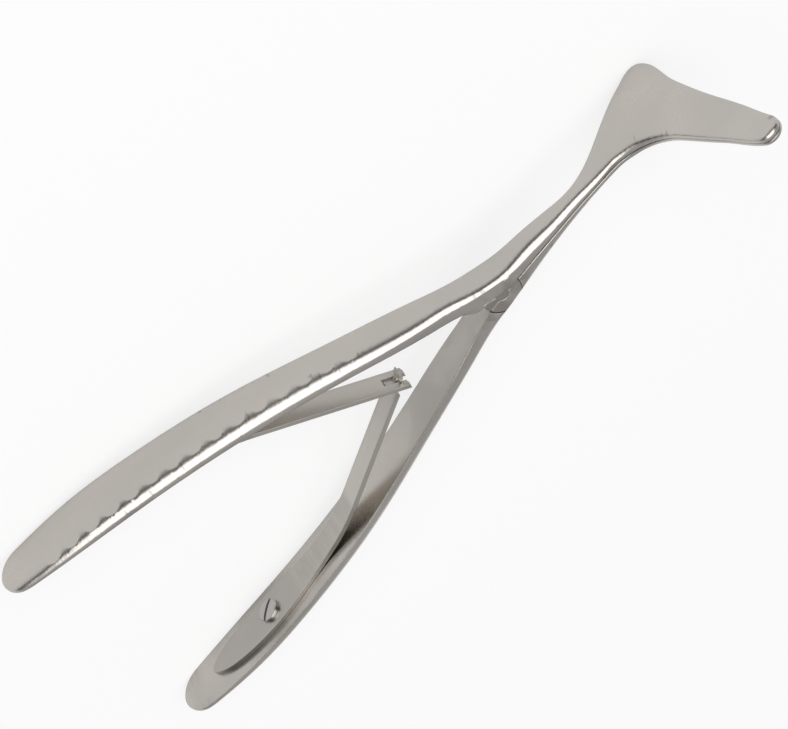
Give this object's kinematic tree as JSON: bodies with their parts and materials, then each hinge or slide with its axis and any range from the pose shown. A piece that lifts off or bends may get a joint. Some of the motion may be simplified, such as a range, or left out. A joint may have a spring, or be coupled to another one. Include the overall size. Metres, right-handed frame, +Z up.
{
  "type": "bivalve speculum",
  "caption": "Nasal bivalve speculum in satin steel: two riveted arms with angled blades, fluted handles and two hooked leaf springs.",
  "frame": {"origin": "middle of the bounding box's bottom, on the plane the laid-down instrument rests on", "axes": "+X along the instrument from the handles to the blades, +Y towards the upper arm, +Z up; the rivet's axis leans 5 degrees from +Z"},
  "size_m": [0.1432, 0.0502, 0.036],
  "materials": {
    "forged_steel": "satin",
    "spring_steel": "satin",
    "screw_steel": "polished"
  },
  "bodies": {
    "lower_arm_body": {"lower_arm": "forged_steel", "hinge_rivet": "forged_steel", "lower_spring_screw": "screw_steel"},
    "upper_arm_body": {"upper_arm": "forged_steel", "upper_spring_screw": "screw_steel"},
    "upper_leaf_body": {"upper_leaf_spring": "spring_steel"},
    "lower_leaf_body": {"lower_leaf_spring": "spring_steel"}
  },
  "joints": [
    {"name": "arm_hinge", "type": "hinge", "parent": "lower_arm_body", "child": "upper_arm_body", "pos_m": [0.01976, 0, 0.01266], "axis": [-0.093, 0, 0.9957], "range_deg": [0, 26], "stiffness_Nm_per_rad": 0.5, "springref_deg": -8.59},
    {"name": "upper_leaf_flex", "type": "hinge", "parent": "upper_arm_body", "child": "upper_leaf_body", "pos_m": [-0.03919, 0.01925, 0.00715], "axis": [-0.093, 0, 0.9957], "range_deg": [-0.5, 8], "deforming": ["upper_leaf_spring"]},
    {"name": "lower_leaf_flex", "type": "hinge", "parent": "lower_arm_body", "child": "lower_leaf_body", "pos_m": [-0.03919, -0.01925, 0.00715], "axis": [-0.093, 0, 0.9957], "range_deg": [-8, 0.5], "deforming": ["lower_leaf_spring"]}
  ],
  "couplings": [
    {"joint": "upper_leaf_flex", "follows": "arm_hinge", "ratio": 0.2856},
    {"joint": "lower_leaf_flex", "follows": "arm_hinge", "ratio": -0.2856}
  ]
}
